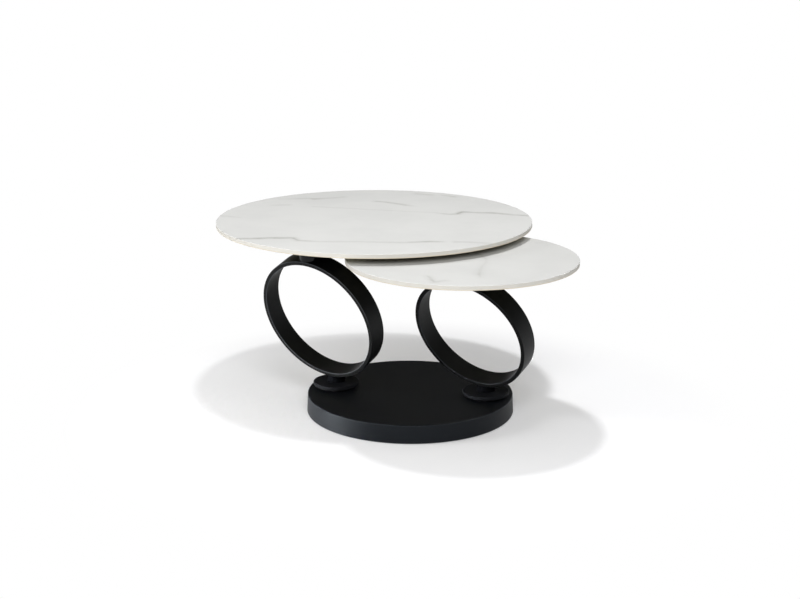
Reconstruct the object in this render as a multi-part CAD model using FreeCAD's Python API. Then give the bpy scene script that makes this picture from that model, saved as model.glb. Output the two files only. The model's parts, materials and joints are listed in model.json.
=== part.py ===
import FreeCAD, Part
import math
import os
from FreeCAD import Vector

# Base cup
base_draft = 2.0
base_height = 46.5
base_edge_round = 2.5
base_foot_round = 2.0
cup_wall = 3.0
cup_top = 4.0
cup_lift = 1.5

# Underside of the base
pad_gap = 9.0
pad_thickness = 3.0
plate_thickness = 4.0
plate_gap = 1.0
ballast_side_gap = 17.5
ballast_top_gap = 5.0
ballast_edge = 2.0
notch_gap = 8.0

# Pillars and screws of the base
pillar_count = 6
pillar_inset = 19.0
pillar_radius = 6.5
pillar_start_angle = 30.0
bottom_screw_radius = 3.0
bottom_head_radius = 6.0
bottom_screw_grip = 12.0
bottom_socket_flats = 4.0
bottom_socket_depth = 2.0
ballast_screw_count = 3
ballast_screw_circle = 110.0
ballast_screw_start_angle = 90.0
ballast_screw_radius = 4.0
ballast_head_radius = 6.5
ballast_head_height = 8.0
ballast_socket_flats = 6.0
ballast_socket_depth = 4.0
screw_clearance = 0.3
head_clearance = 1.2

# Swivel of each ring in the base
pivot_offset = 189.5
housing_radius = 32.0
spindle_floor_gap = 1.5
foot_bush_wall = 5.0
foot_spindle_radius = 15.0
foot_thread_radius = 10.0
foot_washer_radius = 26.0
foot_washer_thickness = 3.0
foot_nut_flats = 30.0
foot_nut_height = 9.0
thread_end = 1.5
slide_ring_radius = 45.0
foot_gap = 6.0
disc_radius = 57.0
disc_thickness = 9.0
disc_edge_round = 2.5
disc_rim_round = 1.5
disc_rim_gap = 8.1
bush_clearance = 0.05
ring_clearance = 0.5

# Necks and rings
neck_radius = 22.0
foot_neck_height = 25.2
head_neck_height = 20.0
neck_edge = 1.0
spindle_seat = 11.0
band_width = 50.0
band_thickness = 10.0
band_edge_round = 1.2
upper_ring_radius = 164.0
upper_ring_lean_angle = 18.2
upper_ring_heading_angle = -114.0
lower_ring_lean_angle = 21.6
lower_ring_heading_angle = -115.3

# Swivel of each top on its ring
head_slide_thickness = 3.0
head_spindle_radius = 12.0
head_thread_radius = 8.0
head_bush_wall = 4.0
head_washer_radius = 17.0
head_washer_thickness = 1.5
head_nut_flats = 24.0
head_nut_height = 5.0
head_thread_end = 0.5
hub_radius = 32.0
hub_height = 8.0
flange_radius = 85.0
flange_thickness = 6.0
flange_edge = 1.0
nut_well_clearance = 3.0
nut_well_gap = 0.5

# Screws of each top
plate_screw_count = 6
plate_screw_inset = 17.0
plate_screw_radius = 3.0
plate_head_radius = 5.5
plate_head_height = 3.5
plate_socket_flats = 4.0
plate_socket_depth = 2.0
insert_radius = 4.5
insert_length = 7.5
insert_hole_gap = 0.5

# Stone tops
stone_thickness = 11.0
stone_edge = 1.0
stone_gap = 16.5
upper_stone_radius = 400.0
upper_stone_offset = 273.7
upper_stone_heading_angle = 67.1
lower_stone_radius = 274.0

overrun = 5.0
match = 0.01
nut_chamfer_angle = 30.0
full_turn = 360.0
hex_sides = 6

# Sizes and heights that follow
base_radius = pivot_offset + disc_radius + disc_rim_gap + base_draft
pillar_circle = base_radius - base_draft - cup_wall - pillar_inset
pad_radius = pillar_circle - bottom_head_radius - pad_gap
ballast_radius = pillar_circle - pillar_radius - ballast_side_gap
plate_top = pad_thickness + plate_thickness
cup_ceiling = base_height - cup_top
ballast_top = cup_ceiling - ballast_top_gap
spindle_end = plate_top + spindle_floor_gap
foot_nut_top = spindle_end + thread_end + foot_nut_height
housing_bottom = foot_nut_top + foot_washer_thickness
foot_bush_bore = foot_spindle_radius + bush_clearance
foot_bush_radius = foot_bush_bore + foot_bush_wall
disc_bottom = base_height + foot_gap
disc_top = disc_bottom + disc_thickness
ring_bottom = disc_top + foot_neck_height
nut_well_depth = head_washer_thickness + head_nut_height + head_thread_end + nut_well_gap
nut_well_radius = head_washer_radius + nut_well_clearance
head_bush_bore = head_spindle_radius + bush_clearance
head_bush_radius = head_bush_bore + head_bush_wall
plate_screw_circle = flange_radius - plate_screw_inset
upper_ring_height = 2 * upper_ring_radius * math.cos(math.radians(upper_ring_lean_angle))
lower_ring_height = upper_ring_height - stone_thickness - stone_gap
lower_ring_radius = lower_ring_height / (2 * math.cos(math.radians(lower_ring_lean_angle)))
screw_tip = plate_top + bottom_screw_grip
up = Vector(0, 0, 1)

# Heights of a top's swivel, counted from the top of its ring
hub_bottom = head_neck_height + head_slide_thickness
flange_bottom = hub_bottom + hub_height
stone_bottom = flange_bottom + flange_thickness
nut_seat = stone_bottom - nut_well_depth
spindle_floor = head_neck_height - spindle_seat


def turned(profile):
    corners = [Vector(radius, 0, height) for radius, height in profile]
    face = Part.Face(Part.makePolygon(corners + corners[:1]))
    return face.revolve(Vector(0, 0, 0), up, full_turn)


def sleeve(inner, outer, low, high):
    return turned([(inner, low), (outer, low), (outer, high), (inner, high)])


def rod(radius, low, high):
    return turned([(0, low), (radius, low), (radius, high), (0, high)])


def rims(solid, radius, height):
    found = []
    for edge in solid.Edges:
        if not isinstance(edge.Curve, Part.Circle):
            continue
        if abs(edge.Curve.Radius - radius) < match and abs(edge.Curve.Center.z - height) < match:
            found.append(edge)
    return found


def hexagon(flats, low, high):
    reach = flats / math.sqrt(3)
    corners = []
    for side in range(hex_sides + 1):
        angle = math.radians(full_turn * side / hex_sides)
        corners.append(Vector(reach * math.cos(angle), reach * math.sin(angle), low))
    return Part.Face(Part.makePolygon(corners)).extrude(up * (high - low))


def nut(flats, bore, low, high):
    reach = flats / math.sqrt(3)
    land = flats / 2
    drop = (reach - land) * math.tan(math.radians(nut_chamfer_angle))
    blank = turned([(bore, low), (land, low), (reach, low + drop),
                    (reach, high - drop), (land, high), (bore, high)])
    return hexagon(flats, low, high).common(blank)


def around(solid, count, radius, start):
    copies = []
    for step in range(count):
        copy = solid.copy()
        copy.translate(Vector(radius, 0, 0))
        copy.rotate(Vector(0, 0, 0), up, start + full_turn * step / count)
        copies.append(copy)
    return copies


def moved(shape, place):
    copy = shape.copy()
    copy.translate(place)
    return copy


def save(node, shape):
    shape.exportStep("parts/" + node + ".step")
    print(node, len(shape.Solids), shape.isValid())


def save_group(node, solids):
    save(node, Part.makeCompound(solids))


# Base pieces
def base_shell():
    top_radius = base_radius - base_draft
    cup = turned([(0, cup_ceiling), (top_radius - cup_wall, cup_ceiling), (base_radius - cup_wall, cup_lift),
                  (base_radius, cup_lift), (top_radius, base_height), (0, base_height)])
    cup = cup.makeFillet(base_edge_round, rims(cup, top_radius, base_height))
    cup = cup.makeFillet(base_foot_round, rims(cup, base_radius, cup_lift))
    hole = rod(foot_bush_radius, cup_ceiling - overrun, base_height + overrun)
    for side in sides.values():
        cup = cup.cut(moved(hole, side["pivot"]))
    return cup


def bottom_screw():
    cone_top = pad_thickness + bottom_head_radius - bottom_screw_radius
    screw = turned([(0, pad_thickness), (bottom_head_radius, pad_thickness), (bottom_screw_radius, cone_top),
                    (bottom_screw_radius, screw_tip), (0, screw_tip)])
    socket_end = pad_thickness + bottom_socket_depth
    return screw.cut(hexagon(bottom_socket_flats, pad_thickness - overrun, socket_end))


def bottom_plate():
    plate = rod(base_radius - base_draft - cup_wall - plate_gap, pad_thickness, plate_top)
    head = bottom_head_radius + screw_clearance
    shank = bottom_screw_radius + screw_clearance
    low = pad_thickness - overrun
    high = plate_top + overrun
    sink = turned([(0, low), (head, low), (head, pad_thickness),
                   (shank, pad_thickness + head - shank), (shank, high), (0, high)])
    tapped = rod(ballast_screw_radius, low, high)
    holes = around(sink, pillar_count, pillar_circle, pillar_start_angle)
    holes += around(tapped, ballast_screw_count, ballast_screw_circle, ballast_screw_start_angle)
    return plate.cut(holes)


def base_pillar():
    pillar = rod(pillar_radius, plate_top, cup_ceiling)
    return pillar.cut(rod(bottom_screw_radius, plate_top - overrun, screw_tip + thread_end))


def ballast_disc():
    disc = turned([(0, plate_top), (ballast_radius, plate_top), (ballast_radius, ballast_top - ballast_edge),
                   (ballast_radius - ballast_edge, ballast_top), (0, ballast_top)])
    well_floor = ballast_top - ballast_head_height - head_clearance
    shank = ballast_screw_radius + screw_clearance
    head = ballast_head_radius + head_clearance
    well = turned([(0, plate_top - overrun), (shank, plate_top - overrun), (shank, well_floor),
                   (head, well_floor), (head, ballast_top + overrun), (0, ballast_top + overrun)])
    disc = disc.cut(around(well, ballast_screw_count, ballast_screw_circle, ballast_screw_start_angle))
    notch = rod(housing_radius + notch_gap, plate_top - overrun, ballast_top + overrun)
    return disc.cut([moved(notch, side["pivot"]) for side in sides.values()])


def ballast_screw():
    seat = ballast_top - ballast_head_height - head_clearance
    top = seat + ballast_head_height
    screw = turned([(0, pad_thickness), (ballast_screw_radius, pad_thickness), (ballast_screw_radius, seat),
                    (ballast_head_radius, seat), (ballast_head_radius, top), (0, top)])
    return screw.cut(hexagon(ballast_socket_flats, top - ballast_socket_depth, top + overrun))


# Swivel pieces about one pivot
def foot_bush():
    return sleeve(foot_bush_bore, foot_bush_radius, housing_bottom, base_height)


def foot_housing():
    return sleeve(foot_bush_radius, housing_radius, housing_bottom, cup_ceiling)


def foot_slide_ring():
    return sleeve(foot_spindle_radius + ring_clearance, slide_ring_radius, base_height, disc_bottom)


def foot_disc():
    disc = sleeve(foot_spindle_radius, disc_radius, disc_bottom, disc_top)
    disc = disc.makeFillet(disc_edge_round, rims(disc, disc_radius, disc_top))
    return disc.makeFillet(disc_rim_round, rims(disc, disc_radius, disc_bottom))


def foot_spindle():
    return turned([(0, spindle_end), (foot_thread_radius, spindle_end), (foot_thread_radius, housing_bottom),
                   (foot_spindle_radius, housing_bottom), (foot_spindle_radius, disc_top + spindle_seat),
                   (0, disc_top + spindle_seat)])


def foot_washer():
    return sleeve(foot_thread_radius, foot_washer_radius, foot_nut_top, housing_bottom)


def foot_nut():
    return nut(foot_nut_flats, foot_thread_radius, foot_nut_top - foot_nut_height, foot_nut_top)


# Leaning ring, its axis through ring_axis
def ring_up(side):
    lean = math.radians(side["lean"])
    heading = math.radians(side["heading"])
    return Vector(math.sin(lean) * math.cos(heading), math.sin(lean) * math.sin(heading), math.cos(lean))


def ring_axis(side):
    lean = math.radians(side["lean"])
    heading = math.radians(side["heading"])
    return Vector(math.cos(lean) * math.cos(heading), math.cos(lean) * math.sin(heading), -math.sin(lean))


def ring_centre(side):
    return side["pivot"] + up * ring_bottom + ring_up(side) * side["ring"]


def ring_top(side):
    return ring_centre(side) + ring_up(side) * side["ring"]


def ring_drum(side, radius, width):
    axis = ring_axis(side)
    return Part.makeCylinder(radius, width, ring_centre(side) - axis * (width / 2), axis)


def ring_band(side):
    outer = ring_drum(side, side["ring"], band_width)
    inner = ring_drum(side, side["ring"] - band_thickness, band_width + 2 * overrun)
    band = outer.cut(inner)
    circles = [edge for edge in band.Edges if isinstance(edge.Curve, Part.Circle)]
    return band.makeFillet(band_edge_round, circles)


def foot_neck(side):
    neck = rod(neck_radius, disc_top, ring_bottom + neck_radius)
    neck = neck.cut(rod(foot_spindle_radius, disc_top - overrun, disc_top + spindle_seat))
    return moved(neck, side["pivot"]).cut(ring_drum(side, side["ring"], 2 * band_width))


def head_neck(side):
    shoulder = head_neck_height - neck_edge
    neck = turned([(0, -neck_radius), (neck_radius, -neck_radius), (neck_radius, shoulder),
                   (neck_radius - neck_edge, head_neck_height), (0, head_neck_height)])
    neck = neck.cut(rod(head_spindle_radius, spindle_floor, head_neck_height + overrun))
    return moved(neck, ring_top(side)).cut(ring_drum(side, side["ring"], 2 * band_width))


# Swivel of a top, placed from the top of its ring
def head_slide_ring():
    return sleeve(head_spindle_radius + ring_clearance, neck_radius, head_neck_height, hub_bottom)


def head_spindle():
    end = stone_bottom - nut_well_gap
    return turned([(0, spindle_floor), (head_spindle_radius, spindle_floor), (head_spindle_radius, nut_seat),
                   (head_thread_radius, nut_seat), (head_thread_radius, end), (0, end)])


def head_bush():
    return sleeve(head_bush_bore, head_bush_radius, hub_bottom, nut_seat)


def head_washer():
    return sleeve(head_thread_radius, head_washer_radius, nut_seat, nut_seat + head_washer_thickness)


def head_nut():
    low = nut_seat + head_washer_thickness
    return nut(head_nut_flats, head_thread_radius, low, low + head_nut_height)


def head_plate():
    plate = turned([(head_bush_radius, hub_bottom), (hub_radius, hub_bottom), (hub_radius, flange_bottom),
                    (flange_radius - flange_edge, flange_bottom),
                    (flange_radius, flange_bottom + flange_edge),
                    (flange_radius, stone_bottom), (nut_well_radius, stone_bottom),
                    (nut_well_radius, nut_seat), (head_bush_radius, nut_seat)])
    hole = rod(plate_screw_radius + screw_clearance, flange_bottom - overrun, stone_bottom + overrun)
    return plate.cut(around(hole, plate_screw_count, plate_screw_circle, 0))


def plate_screw():
    low = flange_bottom - plate_head_height
    tip = stone_bottom + insert_length
    screw = turned([(0, low), (plate_head_radius, low), (plate_head_radius, flange_bottom),
                    (plate_screw_radius, flange_bottom), (plate_screw_radius, tip), (0, tip)])
    return screw.cut(hexagon(plate_socket_flats, low - overrun, low + plate_socket_depth))


def stone_insert():
    return sleeve(plate_screw_radius, insert_radius, stone_bottom, stone_bottom + insert_length)


def stone_top(side):
    low = stone_bottom
    high = low + stone_thickness
    stone = turned([(0, low), (side["stone"] - stone_edge, low), (side["stone"], low + stone_edge),
                    (side["stone"], high - stone_edge), (side["stone"] - stone_edge, high), (0, high)])
    heading = math.radians(side["stone_heading"])
    stone.translate(Vector(math.cos(heading), math.sin(heading), 0) * side["stone_offset"])
    hole = rod(insert_radius, low - overrun, low + insert_length + insert_hole_gap)
    stone = stone.cut(around(hole, plate_screw_count, plate_screw_circle, 0))
    return moved(stone, ring_top(side))


sides = {
    "upper": {"pivot": Vector(-pivot_offset, 0, 0), "ring": upper_ring_radius, "lean": upper_ring_lean_angle,
              "heading": upper_ring_heading_angle, "stone": upper_stone_radius,
              "stone_offset": upper_stone_offset, "stone_heading": upper_stone_heading_angle},
    "lower": {"pivot": Vector(pivot_offset, 0, 0), "ring": lower_ring_radius, "lean": lower_ring_lean_angle,
              "heading": lower_ring_heading_angle, "stone": lower_stone_radius,
              "stone_offset": 0, "stone_heading": 0},
}

os.makedirs("parts", exist_ok=True)

save("base_shell", base_shell())
save("bottom_plate", bottom_plate())
save("floor_pad", rod(pad_radius, 0, pad_thickness))
save("ballast_disc", ballast_disc())
save_group("ballast_screws", around(ballast_screw(), ballast_screw_count, ballast_screw_circle,
                                    ballast_screw_start_angle))
save_group("base_standoffs", around(base_pillar(), pillar_count, pillar_circle, pillar_start_angle))
save_group("bottom_screws", around(bottom_screw(), pillar_count, pillar_circle, pillar_start_angle))

foot_pieces = {"foot_housing": foot_housing, "foot_bush": foot_bush, "foot_slide_ring": foot_slide_ring,
               "foot_disc": foot_disc, "foot_spindle": foot_spindle, "foot_washer": foot_washer,
               "foot_nut": foot_nut}
head_pieces = {"head_slide_ring": head_slide_ring, "head_spindle": head_spindle, "head_washer": head_washer,
               "head_nut": head_nut, "head_plate": head_plate, "head_bush": head_bush}

for name, side in sides.items():
    top = ring_top(side)
    for piece, make in foot_pieces.items():
        save(name + "_" + piece, moved(make(), side["pivot"]))
    save(name + "_foot_neck", foot_neck(side))
    save(name + "_ring_band", ring_band(side))
    save(name + "_head_neck", head_neck(side))
    for piece, make in head_pieces.items():
        save(name + "_" + piece, moved(make(), top))
    screws = around(plate_screw(), plate_screw_count, plate_screw_circle, 0)
    inserts = around(stone_insert(), plate_screw_count, plate_screw_circle, 0)
    save_group(name + "_plate_screws", [moved(screw, top) for screw in screws])
    save_group(name + "_stone_inserts", [moved(insert, top) for insert in inserts])
    save(name + "_stone_top", stone_top(side))
    print(name, "ring top", top)
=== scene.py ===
import bpy
import json
import math
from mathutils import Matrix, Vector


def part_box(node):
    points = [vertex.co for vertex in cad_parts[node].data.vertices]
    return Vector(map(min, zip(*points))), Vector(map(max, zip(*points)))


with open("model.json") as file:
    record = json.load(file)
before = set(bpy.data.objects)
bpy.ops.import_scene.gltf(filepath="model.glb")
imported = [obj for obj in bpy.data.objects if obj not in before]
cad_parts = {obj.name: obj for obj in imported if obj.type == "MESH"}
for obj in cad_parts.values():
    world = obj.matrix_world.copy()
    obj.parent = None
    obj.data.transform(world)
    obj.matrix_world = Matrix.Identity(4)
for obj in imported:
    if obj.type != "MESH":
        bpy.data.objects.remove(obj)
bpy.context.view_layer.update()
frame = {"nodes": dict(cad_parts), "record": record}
nodes = frame["nodes"]
print("frame loaded:", len(nodes), "nodes")


# small helpers for node trees

def feed(tree, sockets, values):         # an output socket is linked, a plain value is set
    for name, value in values.items():
        if isinstance(value, bpy.types.NodeSocket):
            tree.links.new(value, sockets[name])
        else:
            sockets[name].default_value = value


def addNode(tree, kind, inputs=None, **settings):
    node = tree.nodes.new(kind)
    for name, value in settings.items():
        setattr(node, name, value)
    feed(tree, node.inputs, inputs or {})
    return node


def mathStep(tree, operation, first, second=0.0, clamp=False):
    node = addNode(tree, "ShaderNodeMath", {0: first, 1: second}, operation=operation, use_clamp=clamp)
    return node.outputs[0]


def scaleAndAdd(tree, value, factor, more):
    return mathStep(tree, "ADD", mathStep(tree, "MULTIPLY", value, factor), more)


def sumOfShares(tree, first, firstShare, second, secondShare, clamp=False):
    return mathStep(tree, "ADD", mathStep(tree, "MULTIPLY", first, firstShare),
                    mathStep(tree, "MULTIPLY", second, secondShare), clamp)


def vectorStep(tree, operation, first, second):
    node = addNode(tree, "ShaderNodeVectorMath", {0: first, 1: second}, operation=operation)
    return node.outputs["Value" if operation in ("DOT_PRODUCT", "DISTANCE") else "Vector"]


def heightOf(tree, vector):
    return addNode(tree, "ShaderNodeSeparateXYZ", {0: vector}).outputs["Z"]


def softRamp(tree, value, low, high):    # 0 at low, 1 at high, smooth between
    node = addNode(tree, "ShaderNodeMapRange", {"Value": value, "From Min": low, "From Max": high},
                   interpolation_type="SMOOTHSTEP")
    return node.outputs["Result"]


def noiseField(tree, vector, scale, detail, roughness):
    node = addNode(tree, "ShaderNodeTexNoise",
                   {"Vector": vector, "Scale": scale, "Detail": detail, "Roughness": roughness})
    return node.outputs["Fac"]


def blendColor(tree, factor, first, second):
    return addNode(tree, "ShaderNodeMix", {0: factor, 6: first, 7: second}, data_type="RGBA").outputs[2]


def bumpNormal(tree, height, distance, strength):
    node = addNode(tree, "ShaderNodeBump", {"Height": height, "Distance": distance, "Strength": strength})
    return node.outputs["Normal"]


def socketKind(value):
    if isinstance(value, float):
        return "NodeSocketFloat"
    return "NodeSocketVector" if len(value) == 3 else "NodeSocketColor"


def newGroup(name, inputs, outputs):     # every socket is given with a usual value, which tells its kind
    group = bpy.data.node_groups.new(name, "ShaderNodeTree")
    for label, usual in inputs.items():
        socket = group.interface.new_socket(label, in_out="INPUT", socket_type=socketKind(usual))
        socket.default_value = usual
    for label, usual in outputs.items():
        group.interface.new_socket(label, in_out="OUTPUT", socket_type=socketKind(usual))
    source = addNode(group, "NodeGroupInput")
    sink = addNode(group, "NodeGroupOutput")
    return group, source.outputs, sink.inputs


def useGroup(tree, group, inputs):
    return addNode(tree, "ShaderNodeGroup", inputs, node_tree=group).outputs


def emptyMaterial(name):
    material = bpy.data.materials.new(name)
    material.use_nodes = True
    material.node_tree.nodes.clear()
    return material, material.node_tree


def newMaterial(name, shaderInputs):
    material, tree = emptyMaterial(name)
    shader = addNode(tree, "ShaderNodeBsdfPrincipled", shaderInputs)
    addNode(tree, "ShaderNodeOutputMaterial", {"Surface": shader.outputs["BSDF"]})
    place = addNode(tree, "ShaderNodeTexCoord").outputs["Object"]
    return material, tree, shader.inputs, place


black = (0.0, 0.0, 0.0, 1.0)
white = (1.0, 1.0, 1.0, 1.0)
origin = (0.0, 0.0, 0.0)
finishOutputs = {"Color": black, "Roughness": 0.5, "Height": 0.0}


# powder coat grain, shared by every black metal piece
# each noise is given by scale, detail and roughness, and ends are where a soft ramp starts and stops

powderLook = {"peel": (900.0, 2.0, 0.55),                # about a millimetre, like orange peel
              "peelEnds": (0.3, 0.7), "peelDepth": 0.00025,
              "drift": (22.0, 3.0, 0.5),                 # slow change of the coat's thickness
              "driftShare": 0.75,
              "speck": (2400.0, 1.0, 0.5), "speckEnds": (0.58, 0.72), "speckShare": 0.3}


def buildPowderGrain(look):
    group, source, sink = newGroup("powderGrain", {
        "Vector": origin, "Dark": black, "Light": white,
        "Low Roughness": 0.45, "High Roughness": 0.55}, finishOutputs)
    vector = source["Vector"]
    peel = noiseField(group, vector, *look["peel"])
    drift = noiseField(group, vector, *look["drift"])
    speck = softRamp(group, noiseField(group, vector, *look["speck"]), *look["speckEnds"])
    tone = sumOfShares(group, drift, look["driftShare"], speck, look["speckShare"], clamp=True)
    rough = addNode(group, "ShaderNodeMapRange", {
        "Value": peel, "From Min": look["peelEnds"][0], "From Max": look["peelEnds"][1],
        "To Min": source["Low Roughness"], "To Max": source["High Roughness"]})
    feed(group, sink, {"Color": blendColor(group, tone, source["Dark"], source["Light"]),
                       "Roughness": rough.outputs["Result"], "Height": peel})
    return group


# painted highlight along the rounded rims of a band or drum, a light line standing in for the light the rims
# catch

def buildRimHighlight():
    group, source, sink = newGroup("rimHighlight", {
        "Vector": origin, "Centre": origin, "Axis": (0.0, 0.0, 1.0), "Half Width": 0.025,
        "Outer Radius": 0.16, "Inner Radius": 0.15, "Outer Low": -1.0, "Outer High": -0.9,
        "Line": 0.002}, {"Mask": 0.0})
    line = source["Line"]
    solid = mathStep(group, "MULTIPLY", line, 0.25)              # the middle of the line is painted at full highlight strength
    offset = vectorStep(group, "SUBTRACT", source["Vector"], source["Centre"])
    along = vectorStep(group, "DOT_PRODUCT", offset, source["Axis"])
    radius = mathStep(group, "SQRT", mathStep(group, "SUBTRACT",
                                              vectorStep(group, "DOT_PRODUCT", offset, offset),
                                              mathStep(group, "MULTIPLY", along, along)))
    gaps = (mathStep(group, "SUBTRACT", source["Half Width"], mathStep(group, "ABSOLUTE", along)),
            mathStep(group, "SUBTRACT", source["Outer Radius"], radius),
            mathStep(group, "SUBTRACT", radius, source["Inner Radius"]))
    nearFace, nearOuter, nearInner = [softRamp(group, mathStep(group, "ABSOLUTE", gap), line, solid)
                                      for gap in gaps]
    highlightHeight = softRamp(group, heightOf(group, offset), source["Outer Low"], source["Outer High"])
    nearOuter = mathStep(group, "MULTIPLY", nearOuter, highlightHeight)     # the painted highlight on the outer rim shows only this high up
    nearRound = mathStep(group, "MAXIMUM", nearOuter, nearInner)
    feed(group, sink, {"Mask": mathStep(group, "MULTIPLY", nearFace, nearRound)})
    return group


powderGrain = buildPowderGrain(powderLook)
rimHighlight = buildRimHighlight()


def powderCoat(name, look):
    material, tree, shader, place = newMaterial(name, {
        "Specular IOR Level": look["specular"], "Specular Tint": look["tint"]})
    grain = useGroup(tree, powderGrain, {
        "Vector": place, "Dark": look["dark"], "Light": look["light"],
        "Low Roughness": look["rough"][0], "High Roughness": look["rough"][1]})
    color = grain["Color"]
    # each rim colour is a painted highlight laid along the rims
    for highlightColor, rim in look.get("rims", []):
        mask = useGroup(tree, rimHighlight, {"Vector": place, **rim})["Mask"]
        color = blendColor(tree, mask, color, highlightColor)
    feed(tree, shader, {
        "Base Color": color, "Roughness": grain["Roughness"],
        "Normal": bumpNormal(tree, grain["Height"], powderLook["peelDepth"], look["bump"])})
    return material


def ringRims(node, look):                # a leaning band, with a painted highlight inside and high up outside
    low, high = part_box(node)
    lean = math.radians(look["lean"])
    heading = math.radians(look["heading"])
    axis = (-math.cos(lean) * math.cos(heading), -math.cos(lean) * math.sin(heading), math.sin(lean))
    return {"Centre": (low + high) / 2, "Axis": axis, "Half Width": look["width"] / 2,
            "Outer Radius": look["radius"], "Inner Radius": look["radius"] - look["thickness"],
            "Outer Low": look["highlightHeight"][0], "Outer High": look["highlightHeight"][1], "Line": look["line"]}


def drumRims(node, look):                # an upright drum with an outer rim above and one below
    low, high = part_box(node)
    return {"Centre": (low + high) / 2, "Half Width": (high.z - low.z) / 2,
            "Outer Radius": (high.x - low.x) / 2 - look["draft"] / 2, "Inner Radius": -1.0,
            "Line": look["line"]}


upperBand = {"lean": 18.2, "heading": -114.0, "radius": 0.164, "width": 0.05, "thickness": 0.01,
             "line": 0.0019, "highlightHeight": (-0.02, 0.06)}
lowerBand = {"lean": 21.6, "heading": -115.3, "radius": 0.15277, "width": 0.05, "thickness": 0.01,
             "line": 0.0019, "highlightHeight": (0.06, 0.12)}
baseDrum = {"draft": 0.002, "line": 0.003}
# the base drum's rims carry a painted highlight line
baseCoat = {"dark": (0.002, 0.0023, 0.0033, 1), "light": (0.0036, 0.0041, 0.0057, 1),
            "tint": (0.8, 0.9, 1.0, 1), "rough": (0.46, 0.56), "specular": 0.24, "bump": 0.25,
            "rims": [((0.026, 0.029, 0.036, 1), drumRims("base_shell", baseDrum))]}
# the swivel pieces wear the same black coat as the base and rings, set lighter: painted light on the disc
# tops
swivelCoat = {"dark": (0.0082, 0.0086, 0.01, 1), "light": (0.0115, 0.012, 0.0137, 1),
              "tint": (0.8, 0.9, 1.0, 1), "rough": (0.46, 0.56), "specular": 0.03, "bump": 0.22}
# the necks' coats are darker copies of the swivel coat: painted shade
shadedFootNeckCoat = {"dark": (0.003, 0.0032, 0.004, 1), "light": (0.005, 0.0054, 0.0066, 1),
                "tint": (0.8, 0.9, 1.0, 1), "rough": (0.5, 0.6), "specular": 0.0, "bump": 0.22}
shadedHeadNeckCoat = {"dark": (0.003, 0.0032, 0.004, 1), "light": (0.005, 0.0054, 0.0066, 1),
                "tint": (0.95, 0.98, 1.0, 1), "rough": (0.18, 0.24), "specular": 0.22, "bump": 0.06}
# the rings' rim colours are painted highlights, dimmer on the lower ring, which lies in the stones' shade
ringCoat = {"dark": (0.0022, 0.0023, 0.0024, 1), "light": (0.0038, 0.004, 0.0041, 1),
            "tint": (0.95, 0.99, 1.0, 1), "rough": (0.44, 0.54), "specular": 0.15, "bump": 0.2,
            "rims": [((0.062, 0.066, 0.074, 1), ringRims("upper_ring_band", upperBand)),
                     ((0.025, 0.027, 0.032, 1), ringRims("lower_ring_band", lowerBand))]}
primerCoat = {"dark": (0.016, 0.016, 0.017, 1), "light": (0.03, 0.03, 0.031, 1),
              "tint": (1, 1, 1, 1), "rough": (0.6, 0.75), "specular": 0.3, "bump": 0.4}
coats = {"base_coat": powderCoat("basePowderCoat", baseCoat),
         "swivel_coat": powderCoat("swivelPowderCoat", swivelCoat),
         "ring_coat": powderCoat("ringPowderCoat", ringCoat),
         "plate_steel": powderCoat("primedSteel", primerCoat)}
footNeck = powderCoat("shadedFootNeckCoat", shadedFootNeckCoat)
headNeck = powderCoat("shadedHeadNeckCoat", shadedHeadNeckCoat)
neckCoats = {"upper_foot_neck": footNeck, "lower_foot_neck": footNeck,      # darker copies in place of the slot's coat, painted shade
             "upper_head_neck": headNeck, "lower_head_neck": headNeck}
print("black coats made:", len(coats) + len(set(neckCoats.values())))


# one run of a vein, a soft line from its start along its reach, deeper at one end than at the other

runLook = {"coreShare": 0.55, "featherShare": 0.45, "featherReach": 3.5}


def buildVeinRun(look):
    group, source, sink = newGroup("veinRun", {
        "Vector": origin, "Start": origin, "Reach": (0.1, 0.0, 0.0), "Width": 0.005,
        "First Depth": 0.3, "Last Depth": 0.3}, {"Mask": 0.0})
    reach = source["Reach"]
    width = source["Width"]
    offset = vectorStep(group, "SUBTRACT", source["Vector"], source["Start"])
    along = mathStep(group, "DIVIDE", vectorStep(group, "DOT_PRODUCT", offset, reach),
                     vectorStep(group, "DOT_PRODUCT", reach, reach), clamp=True)
    nearest = addNode(group, "ShaderNodeVectorMath", {0: reach, "Scale": along}, operation="SCALE")
    gap = vectorStep(group, "DISTANCE", offset, nearest.outputs["Vector"])
    core = softRamp(group, gap, width, 0.0)
    feather = softRamp(group, gap, mathStep(group, "MULTIPLY", width, look["featherReach"]), 0.0)
    line = sumOfShares(group, core, look["coreShare"], feather, look["featherShare"])
    change = mathStep(group, "SUBTRACT", source["Last Depth"], source["First Depth"])
    depth = scaleAndAdd(group, change, along, source["First Depth"])
    feed(group, sink, {"Mask": mathStep(group, "MULTIPLY", line, depth)})
    return group


# body of the stone: clouded white face, cream edge with a painted warm highlight along its lower arris,
# plain underside edge, highlight and under are ramps through the slab, from 0 on the face to 1 on the
# underside

slabLook = {"cloud": (5.0, 4.0, 0.6), "cloudEnds": (0.38, 0.66), "cloudShare": 0.8,
            "mottle": (190.0, 2.0, 0.5), "mottleShare": 0.25,
            "hairTurn": -10.0, "hairStretch": (1.0, 3.2, 1.0), "hairScale": 2.1, "hairDetail": 4.0,
            "hairEnds": (0.93, 1.0), "hairDepth": 0.08,
            "crumb": (420.0, 2.0, 0.5), "crumbReach": 0.05,
            "edgeEnds": (0.06, 0.12), "highlightEnds": (0.74, 0.86), "underEnds": (0.985, 1.0),
            "polish": (60.0, 2.0, 0.5), "polishShare": 0.1, "faceRough": 0.56, "edgeRough": 0.25,
            "pores": (700.0, 2.0, 0.5), "poreDepth": 0.0001, "poreBump": 0.15}


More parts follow.
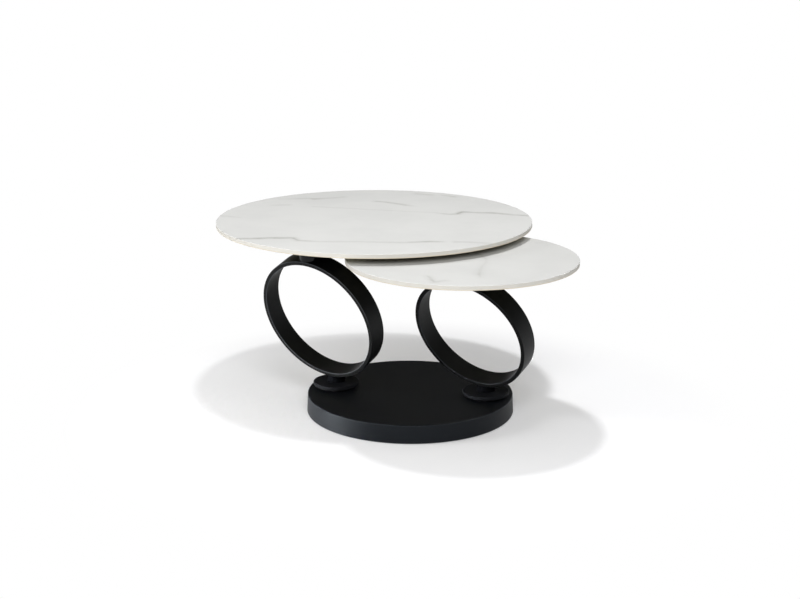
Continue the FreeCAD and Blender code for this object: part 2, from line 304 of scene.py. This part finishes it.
def buildStoneBody(look):
    group, source, sink = newGroup("stoneBody", {
        "Vector": origin, "Veins": 0.0, "Face Height": 0.4, "Thickness": 0.011,
        "White": white, "Cloud": white, "Vein": (0.3, 0.297, 0.27, 1),
        "Edge": white, "Edge Highlight": white, "Under": (0.3, 0.28, 0.19, 1)}, finishOutputs)
    vector = source["Vector"]
    cloud = softRamp(group, noiseField(group, vector, *look["cloud"]), *look["cloudEnds"])
    mottle = noiseField(group, vector, *look["mottle"])
    tone = sumOfShares(group, cloud, look["cloudShare"], mottle, look["mottleShare"], clamp=True)
    face = blendColor(group, tone, source["White"], source["Cloud"])
    stretch = addNode(group, "ShaderNodeMapping", {
        "Vector": vector, "Scale": look["hairStretch"],
        "Rotation": (0, 0, math.radians(look["hairTurn"]))})
    wisp = addNode(group, "ShaderNodeTexNoise", {
        "Vector": stretch.outputs["Vector"], "Scale": look["hairScale"], "Detail": look["hairDetail"]},
        noise_type="RIDGED_MULTIFRACTAL")
    hair = softRamp(group, wisp.outputs["Fac"], *look["hairEnds"])       # hair-fine lines far apart
    hair = mathStep(group, "MULTIPLY", hair, look["hairDepth"])
    ink = mathStep(group, "ADD", hair, source["Veins"], clamp=True)
    face = blendColor(group, ink, face, source["Vein"])
    below = mathStep(group, "SUBTRACT", source["Face Height"], heightOf(group, vector))
    depth = mathStep(group, "DIVIDE", below, source["Thickness"])
    crumb = mathStep(group, "SUBTRACT", noiseField(group, vector, *look["crumb"]), 0.5)
    depth = scaleAndAdd(group, crumb, look["crumbReach"], depth)
    onEdge = softRamp(group, depth, *look["edgeEnds"])
    color = blendColor(group, onEdge, face, source["Edge"])
    # light warm line along the lower arris: painted highlight of light bounced onto it
    color = blendColor(group, softRamp(group, depth, *look["highlightEnds"]), color, source["Edge Highlight"])
    color = blendColor(group, softRamp(group, depth, *look["underEnds"]), color, source["Under"])
    polish = noiseField(group, vector, *look["polish"])
    rough = scaleAndAdd(group, polish, look["polishShare"], look["faceRough"])
    rough = scaleAndAdd(group, onEdge, look["edgeRough"], rough)
    feed(group, sink, {"Color": color, "Roughness": rough,
                       "Height": noiseField(group, vector, *look["pores"])})
    return group


veinRun = buildVeinRun(runLook)
stoneBody = buildStoneBody(slabLook)

# two noises push the veins sideways, each given by scale and reach, and a third makes them patchy
veinLook = {"wander": [(16.0, 0.014), (85.0, 0.006)], "wanderDetail": 2.0,
            "patch": (48.0, 3.0, 0.6), "patchShare": 1.1, "patchLeast": 0.45}


def wander(tree, vector, scale, reach):
    noise = addNode(tree, "ShaderNodeTexNoise",
                    {"Vector": vector, "Scale": scale, "Detail": veinLook["wanderDetail"]})
    push = vectorStep(tree, "SUBTRACT", noise.outputs["Color"], (0.5, 0.5, 0.5))
    return vectorStep(tree, "MULTIPLY", push, (reach, reach, 0.0))


def veinMask(tree, flat, veins):
    bent = flat
    for scale, reach in veinLook["wander"]:
        bent = vectorStep(tree, "ADD", bent, wander(tree, flat, scale, reach))
    deepest = 0.0
    for width, path in veins:
        for (x, y, depth), (nextX, nextY, nextDepth) in zip(path, path[1:]):
            run = useGroup(tree, veinRun, {
                "Vector": bent, "Start": (x, y, 0), "Reach": (nextX - x, nextY - y, 0),
                "Width": width, "First Depth": depth, "Last Depth": nextDepth})
            deepest = mathStep(tree, "MAXIMUM", run["Mask"], deepest)
    patchy = scaleAndAdd(tree, noiseField(tree, flat, *veinLook["patch"]),
                         veinLook["patchShare"], veinLook["patchLeast"])
    return mathStep(tree, "MULTIPLY", deepest, patchy)


def stoneMaterial(name, node, look):
    low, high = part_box(node)
    material, tree, shader, place = newMaterial(name, {"Specular IOR Level": look["specular"]})
    flat = vectorStep(tree, "MULTIPLY", place, (1.0, 1.0, 0.0))
    body = useGroup(tree, stoneBody, {
        "Vector": place, "Veins": veinMask(tree, flat, look["veins"]),
        "Face Height": high.z, "Thickness": high.z - low.z,
        "White": look["white"], "Cloud": look["cloud"],
        "Edge": look["edge"], "Edge Highlight": look["edgeHighlight"]})
    feed(tree, shader, {
        "Base Color": body["Color"], "Roughness": body["Roughness"],
        "Normal": bumpNormal(tree, body["Height"], slabLook["poreDepth"], slabLook["poreBump"])})
    return material


# each vein has its width, then the points of its line with its depth there, in metres on the face
upperStone = {
    "specular": 0.14, "white": (0.658, 0.658, 0.643, 1), "cloud": (0.62, 0.621, 0.607, 1),
    "edge": (0.635, 0.616, 0.564, 1), "edgeHighlight": (0.68, 0.616, 0.495, 1),
    "veins": [
        (0.0055, [(-0.395, -0.138, 0.6), (-0.332, -0.117, 0.78), (-0.268, -0.100, 0.7),
                  (-0.248, -0.125, 0.5), (-0.194, -0.126, 0.28), (-0.069, -0.107, 0.28),
                  (0.006, -0.096, 0.36), (0.062, -0.075, 0.7), (0.090, -0.070, 0.3)]),
        (0.0045, [(0.120, -0.068, 0.42), (0.156, -0.064, 0.35), (0.201, -0.063, 0.2)]),
        (0.0055, [(-0.168, 0.385, 0.45), (-0.133, 0.379, 0.5), (-0.078, 0.350, 0.45),
                  (-0.058, 0.342, 0.1)]),
        (0.0055, [(0.005, 0.268, 0.12), (0.028, 0.259, 0.3), (0.053, 0.253, 0.45),
                  (0.072, 0.261, 0.55), (0.080, 0.291, 0.95), (0.113, 0.288, 0.5),
                  (0.160, 0.295, 0.7), (0.213, 0.281, 0.5), (0.258, 0.276, 0.6)]),
        (0.0050, [(-0.316, 0.283, 0.2), (-0.195, 0.276, 0.16), (0.012, 0.265, 0.14)]),
        (0.0060, [(-0.426, 0.368, 0.1), (-0.353, 0.390, 0.35), (-0.337, 0.385, 0.65),
                  (-0.313, 0.400, 0.3), (-0.270, 0.431, 0.3)]),
        (0.0060, [(-0.426, 0.277, 0.2), (-0.387, 0.291, 0.25)]),
        (0.0055, [(-0.517, 0.117, 0.3), (-0.464, 0.105, 0.15)]),
        (0.0060, [(-0.082, 0.515, 0.35), (-0.039, 0.509, 0.3)]),
        (0.0060, [(-0.014, 0.511, 0.2), (0.031, 0.495, 0.35)])]}
# the two stones are one stone in lighter and darker copies of its colours, painted light and shade: the
# lower stone's face and edge are darker
lowerStone = {
    "specular": 0.14, "white": (0.635, 0.635, 0.62, 1), "cloud": (0.602, 0.603, 0.589, 1),
    "edge": (0.585, 0.567, 0.52, 1), "edgeHighlight": (0.625, 0.566, 0.455, 1),
    "veins": [
        (0.0050, [(0.095, -0.300, 0.26), (0.119, -0.348, 0.46), (0.143, -0.334, 0.28)]),
        (0.0060, [(0.203, -0.115, 0.14), (0.202, -0.221, 0.18), (0.203, -0.259, 0.3),
                  (0.210, -0.290, 0.1)]),
        (0.0050, [(0.020, 0.060, 0.3), (0.140, 0.010, 0.45), (0.203, -0.115, 0.2)])]}
stones = {"upper_stone": stoneMaterial("upperStone", "upper_stone_top", upperStone),
          "lower_stone": stoneMaterial("lowerStone", "lower_stone_top", lowerStone)}
print("stones made, veins:", len(upperStone["veins"] + lowerStone["veins"]))


# turned and cast metal, plastic and rubber, streaked along their lines and stained in patches

marksLook = {"lines": (320.0, 3.0, 0.6), "lineStretch": (1.0, 1.0, 9.0), "lineShare": 0.5,
             "stain": (45.0, 3.0, 0.6), "stainEnds": (0.35, 0.7), "stainShare": 0.5, "lineDepth": 0.0001}


def buildPartMarks(look):
    group, source, sink = newGroup("partMarks", {
        "Vector": origin, "Dark": black, "Light": white, "Smooth": 0.3, "Rough": 0.5}, finishOutputs)
    vector = source["Vector"]
    stretch = addNode(group, "ShaderNodeMapping",
                      {"Vector": vector, "Scale": look["lineStretch"]})      # lines run round a turned piece
    lines = noiseField(group, stretch.outputs["Vector"], *look["lines"])
    stain = softRamp(group, noiseField(group, vector, *look["stain"]), *look["stainEnds"])
    tone = sumOfShares(group, lines, look["lineShare"], stain, look["stainShare"])
    rough = addNode(group, "ShaderNodeMapRange",
                    {"Value": lines, "To Min": source["Smooth"], "To Max": source["Rough"]})
    feed(group, sink, {"Color": blendColor(group, tone, source["Dark"], source["Light"]),
                       "Roughness": rough.outputs["Result"], "Height": lines})
    return group


partMarks = buildPartMarks(marksLook)


def markedFinish(name, look):
    material, tree, shader, place = newMaterial(name, {
        "Metallic": look["metallic"], "Specular IOR Level": look["specular"]})
    marks = useGroup(tree, partMarks, {
        "Vector": place, "Dark": look["dark"], "Light": look["light"],
        "Smooth": look["rough"][0], "Rough": look["rough"][1]})
    feed(tree, shader, {
        "Base Color": marks["Color"], "Roughness": marks["Roughness"],
        "Normal": bumpNormal(tree, marks["Height"], marksLook["lineDepth"], look["bump"])})
    return material


zincSteel = {"dark": (0.42, 0.43, 0.45, 1), "light": (0.62, 0.63, 0.65, 1), "rough": (0.25, 0.45),
             "metallic": 1.0, "specular": 0.5, "bump": 0.2}
turnedBronze = {"dark": (0.36, 0.23, 0.1, 1), "light": (0.58, 0.41, 0.2, 1), "rough": (0.28, 0.45),
                "metallic": 1.0, "specular": 0.5, "bump": 0.2}
turnedBrass = {"dark": (0.55, 0.4, 0.16, 1), "light": (0.76, 0.6, 0.28, 1), "rough": (0.22, 0.4),
               "metallic": 1.0, "specular": 0.5, "bump": 0.2}
castIron = {"dark": (0.05, 0.048, 0.046, 1), "light": (0.12, 0.115, 0.11, 1), "rough": (0.6, 0.85),
            "metallic": 0.6, "specular": 0.4, "bump": 0.6}
slidePlastic = {"dark": (0.006, 0.006, 0.006, 1), "light": (0.012, 0.012, 0.012, 1),
                "rough": (0.45, 0.65), "metallic": 0.0, "specular": 0.04, "bump": 0.15}
padRubber = {"dark": (0.014, 0.014, 0.014, 1), "light": (0.03, 0.03, 0.03, 1), "rough": (0.75, 0.92),
             "metallic": 0.0, "specular": 0.25, "bump": 0.7}
smallFinishes = {"fastener_steel": markedFinish("zincSteel", zincSteel),
                 "bush_bronze": markedFinish("turnedBronze", turnedBronze),
                 "insert_brass": markedFinish("turnedBrass", turnedBrass),
                 "ballast_iron": markedFinish("castIron", castIron),
                 "slide_plastic": markedFinish("slidePlastic", slidePlastic),
                 "pad_rubber": markedFinish("padRubber", padRubber)}
print("finishes of the fittings made:", len(smallFinishes))

finishes = {**coats, **stones, **smallFinishes}
for part in frame["record"]["subparts"]:
    slots = nodes[part["node"]].data.materials
    slots.clear()
    slots.append(neckCoats.get(part["node"], finishes[part["material_slot"]]))
print("finishes laid on:", len(nodes), "pieces")


# floor and far wall, white all round, with the table's shadow near the middle; the white glow is painted
# light that also lifts the shadow, more towards the front than behind the table each ramp is a centre on the
# floor and the two distances between which the glow turns the floor to plain white

floorLook = {"size": 120.0, "height": -0.0003, "paint": (0.96, 0.962, 0.981, 1), "leastWhite": 0.125,
             "glowRamps": [((0.25, 0.3, 0.0), (0.0, 1.9)),
                       ((0.0, 0.0, 0.0), (0.52, 0.85))],
             "wallRadius": 58.0, "wallHeight": 3.6, "wallSides": 96}


def floorPaint(look):
    material, tree = emptyMaterial("studioFloorPaint")
    paint = addNode(tree, "ShaderNodeBsdfDiffuse", {"Color": look["paint"]})
    plainWhite = addNode(tree, "ShaderNodeEmission", {"Color": white, "Strength": 1.0})
    place = addNode(tree, "ShaderNodeTexCoord").outputs["Object"]
    far = mathStep(tree, "MAXIMUM", *[softRamp(tree, vectorStep(tree, "DISTANCE", place, centre), *ends)
                                      for centre, ends in look["glowRamps"]])
    glowShare = scaleAndAdd(tree, far, 1.0 - look["leastWhite"], look["leastWhite"])
    ray = addNode(tree, "ShaderNodeLightPath").outputs
    seen = mathStep(tree, "MAXIMUM", ray["Is Camera Ray"], ray["Is Glossy Ray"])
    seen = mathStep(tree, "MAXIMUM", seen, ray["Is Transmission Ray"])
    mixer = addNode(tree, "ShaderNodeMixShader", {
        0: mathStep(tree, "MULTIPLY", glowShare, seen), 1: paint.outputs[0], 2: plainWhite.outputs[0]})
    addNode(tree, "ShaderNodeOutputMaterial", {"Surface": mixer.outputs[0]})
    return material


def stageSurface(name, material):        # the primitive that was added last
    surface = bpy.context.active_object
    surface.name = name
    bpy.ops.object.transform_apply(location=True, rotation=False, scale=True)
    surface.data.materials.append(material)


def buildStudio(look):
    paint = floorPaint(look)
    bpy.ops.object.select_all(action="DESELECT")
    bpy.ops.mesh.primitive_plane_add(size=look["size"], location=(0, 0, look["height"]))
    stageSurface("studioFloor", paint)
    bpy.ops.object.select_all(action="DESELECT")
    bpy.ops.mesh.primitive_cylinder_add(
        vertices=look["wallSides"], radius=look["wallRadius"], depth=look["wallHeight"],
        end_fill_type="NOTHING", location=(0, 0, look["wallHeight"] / 2))
    stageSurface("studioWall", paint)


buildStudio(floorLook)
print("floor laid")


# studio light: a lamp and a softbox overhead, four side panels, a low strip for the base, dim surroundings

lampLook = {
    "overhead": {"place": (-0.066, -0.014, 3.08), "aim": (-0.066, -0.014, 0.0), "size": 0.22,
                 "power": 37.0},
    "topSoftbox": {"place": (0.0, 0.0, 3.3), "aim": (0.0, 0.0, 0.0), "size": 3.6, "power": 18.0},
    "frontPanel": {"place": (0.8, -2.6, 1.9), "aim": (0.0, 0.0, 0.1), "size": 1.6, "power": 61.0},
    "leftPanel": {"place": (-2.3, -1.1, 1.1), "aim": (0.0, 0.0, 0.15), "size": 1.1, "power": 32.0},
    "leftStrip": {"place": (-2.15, -0.9, 0.065), "aim": (-0.2, -0.05, 0.025), "size": 0.1,
                  "power": 0.9, "spread": 16.0},
    "backPanel": {"place": (1.3, 1.9, 2.0), "aim": (0.35, 0.5, 0.0), "size": 1.2, "power": 10.5},
    "rightPanel": {"place": (2.2, 1.9, 0.9), "aim": (0.2, 0.2, 0.1), "size": 1.2, "power": 5.5},
}
worldLook = {"color": white, "strength": 0.07}


def hangLamp(name, look):
    light = bpy.data.lights.new(name, "AREA")
    light.shape = "DISK"
    light.size = look["size"]
    light.energy = look["power"]
    light.spread = math.radians(look.get("spread", 180.0))
    lamp = bpy.data.objects.new(name, light)
    bpy.context.scene.collection.objects.link(lamp)
    lamp.location = look["place"]
    lamp.visible_camera = False
    x, y, z = [end - start for start, end in zip(look["place"], look["aim"])]
    lamp.rotation_euler = (math.atan2(math.hypot(x, y), -z), 0, math.atan2(y, x) - math.pi / 2)


def dimWorld(look):
    world = bpy.data.worlds.new("dimStudio")
    bpy.context.scene.world = world
    world.use_nodes = True
    world.node_tree.nodes.clear()
    sky = addNode(world.node_tree, "ShaderNodeBackground",
                  {"Color": look["color"], "Strength": look["strength"]})
    addNode(world.node_tree, "ShaderNodeOutputWorld", {"Surface": sky.outputs[0]})


for lampName, lamp in lampLook.items():
    hangLamp(lampName, lamp)
dimWorld(worldLook)
print("light set:", len(lampLook), "lamps")


# camera at the photograph's place

cameraLook = {"place": (0.6327, -3.3291, 1.1821), "tilt": 75.12, "turn": 11.63,
              "lens": 64.39, "sensor": 36.0, "shiftX": 0.0131, "farthest": 200.0}


def placeCamera(look):
    lens = bpy.data.cameras.new("tableCamera")
    lens.sensor_fit = "HORIZONTAL"
    lens.sensor_width = look["sensor"]
    lens.lens = look["lens"]
    lens.shift_x = look["shiftX"]
    lens.clip_end = look["farthest"]
    camera = bpy.data.objects.new("tableCamera", lens)
    bpy.context.scene.collection.objects.link(camera)
    camera.location = look["place"]
    camera.rotation_euler = (math.radians(look["tilt"]), 0, math.radians(look["turn"]))
    bpy.context.scene.camera = camera


placeCamera(cameraLook)
bpy.context.scene.view_settings.view_transform = "Standard"
print("camera set")
